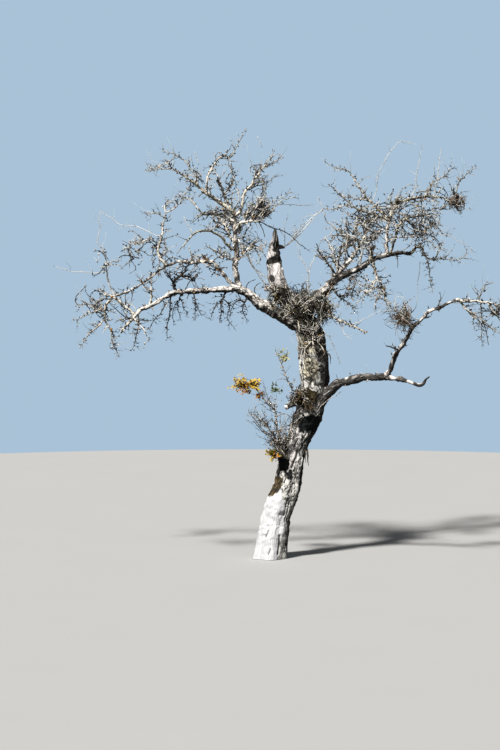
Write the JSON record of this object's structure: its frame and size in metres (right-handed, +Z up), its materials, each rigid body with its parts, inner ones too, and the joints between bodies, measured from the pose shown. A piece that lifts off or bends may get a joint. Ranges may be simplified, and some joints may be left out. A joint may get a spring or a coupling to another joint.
{
  "type": "dead tree",
  "caption": "Old dead orchard tree with a leaning trunk, a broken spar, spreading boughs and a bare twiggy crown, cut flat at ground level.",
  "frame": {"origin": "middle of the flat cut under the trunk, at ground level", "axes": "+Z up, +X towards the side that the trunk leans to, +Y away from the side the tree is mostly seen from"},
  "size_m": [6.883, 3.1298, 6.418],
  "materials": {
    "bark": "rough fissured bark, whitewashed low down",
    "bough_bark": "rough bark with lichen",
    "twigs": "dry grey-brown twigs"
  },
  "bodies": {
    "root": {"trunk": "bark", "left_bough": "bough_bark", "left_bough_outer": "bough_bark", "left_riser": "bough_bark", "second_bough": "bough_bark", "right_bough": "bough_bark", "right_riser": "bough_bark", "low_bough": "bough_bark", "low_riser": "bough_bark", "low_stub": "bough_bark", "snag": "bough_bark", "back_bough": "bough_bark", "left_end": "twigs", "left_hook": "twigs", "left_far_riser": "twigs", "mid_left_riser": "twigs", "left_dark_tuft": "twigs", "left_short_tuft": "twigs", "hanging_far": "twigs", "hanging_mid": "twigs", "hanging_near": "twigs", "hanging_inner": "twigs", "hanging_root": "twigs", "arched_branch": "twigs", "crown_left": "twigs", "crown_under": "twigs", "crown_middle": "twigs", "crown_right": "twigs", "broom_top": "twigs", "crown_back": "twigs", "riser_left_twigs": "twigs", "riser_right_twigs": "twigs", "fork_shoot_left": "twigs", "thicket_left": "twigs", "thicket_front": "twigs", "thicket_right": "twigs", "thicket_low": "twigs", "thicket_back": "twigs", "fork_shoot_right": "twigs", "broken_low_shoot": "twigs", "bough_shoot_near": "twigs", "bough_shoot_mid": "twigs", "bough_shoot_far": "twigs", "right_pale_arm": "twigs", "right_stump": "twigs", "right_left_arm": "twigs", "right_upper_arm": "twigs", "right_top_arm": "twigs", "right_ring": "twigs", "right_end": "twigs", "right_droop": "twigs", "low_tip": "twigs", "low_broom": "twigs", "low_snag": "twigs", "trunk_sprout": "twigs", "trunk_sprig": "twigs", "back_crown": "twigs", "back_shoot": "twigs", "back_droop": "twigs", "spar_shoots": "twigs"}
  },
  "joints": []
}
